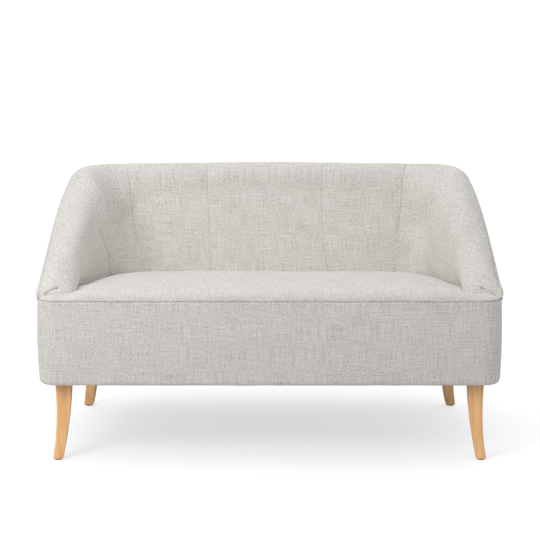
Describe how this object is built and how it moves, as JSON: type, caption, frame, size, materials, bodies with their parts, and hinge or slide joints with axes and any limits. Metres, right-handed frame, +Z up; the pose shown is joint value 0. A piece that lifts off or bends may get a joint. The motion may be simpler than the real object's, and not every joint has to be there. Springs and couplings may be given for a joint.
{
  "type": "settee",
  "caption": "Upholstered settee with a wrap-around channelled back, arms that slope down to the front, a deep fabric base and splayed sabre legs in oak.",
  "frame": {"origin": "middle of the footprint of the whole settee, on the floor", "axes": "+X to the settee's width, right in the picture; +Y from the front to the back; +Z up"},
  "size_m": [1.2738, 0.712, 0.7493],
  "materials": {
    "upholstery": "light warm grey heathered linen-look weave",
    "leg_oak": "light natural oak, clear satin lacquer",
    "frame_timber": "planed softwood, unfinished",
    "plywood": "sanded plywood, unfinished",
    "hardboard": "brown hardboard",
    "foam": "cut upholstery foam",
    "lining_cloth": "black non-woven lining",
    "webbing": "woven elastic webbing",
    "spring_steel": "oiled spring wire",
    "zinc_steel": "zinc plated",
    "glide_plastic": "moulded, matt"
  },
  "bodies": {
    "root": {"front_rail": "frame_timber", "back_rail": "frame_timber", "side_rail_left": "frame_timber", "side_rail_right": "frame_timber", "corner_rail_left": "frame_timber", "corner_rail_right": "frame_timber", "cross_rail": "frame_timber", "spring_rail": "frame_timber", "corner_blocks": "frame_timber", "corner_shelf_left": "plywood", "corner_shelf_right": "plywood", "arm_panel_left": "plywood", "arm_panel_right": "plywood", "arm_dowels": "frame_timber", "back_ribs": "plywood", "top_rail": "frame_timber", "corner_plate_left": "plywood", "corner_plate_right": "plywood", "corner_board_left": "hardboard", "corner_board_right": "hardboard", "back_board": "hardboard", "back_webbing": "webbing", "seat_springs": "spring_steel", "spring_clips": "spring_steel", "spring_ties": "spring_steel", "deck_cloth": "lining_cloth", "seat_foam": "foam", "seat_cover": "upholstery", "arm_foam_left": "foam", "arm_foam_right": "foam", "corner_foam_left": "foam", "corner_foam_right": "foam", "back_foam": "foam", "inside_arm_left": "upholstery", "inside_arm_right": "upholstery", "inside_corner_left": "upholstery", "inside_corner_right": "upholstery", "inside_back_left": "upholstery", "inside_back_right": "upholstery", "inside_back_centre": "upholstery", "outside_arm_left": "upholstery", "outside_arm_right": "upholstery", "outside_back": "upholstery", "base_cover_front": "upholstery", "base_cover_left": "upholstery", "base_cover_right": "upholstery", "base_cover_back": "upholstery", "dust_cover": "lining_cloth", "leg_front_left": "leg_oak", "leg_front_right": "leg_oak", "leg_back_left": "leg_oak", "leg_back_right": "leg_oak", "glide_front_left": "glide_plastic", "glide_front_right": "glide_plastic", "glide_back_left": "glide_plastic", "glide_back_right": "glide_plastic", "leg_bolts": "zinc_steel", "leg_nuts": "zinc_steel"}
  },
  "joints": []
}
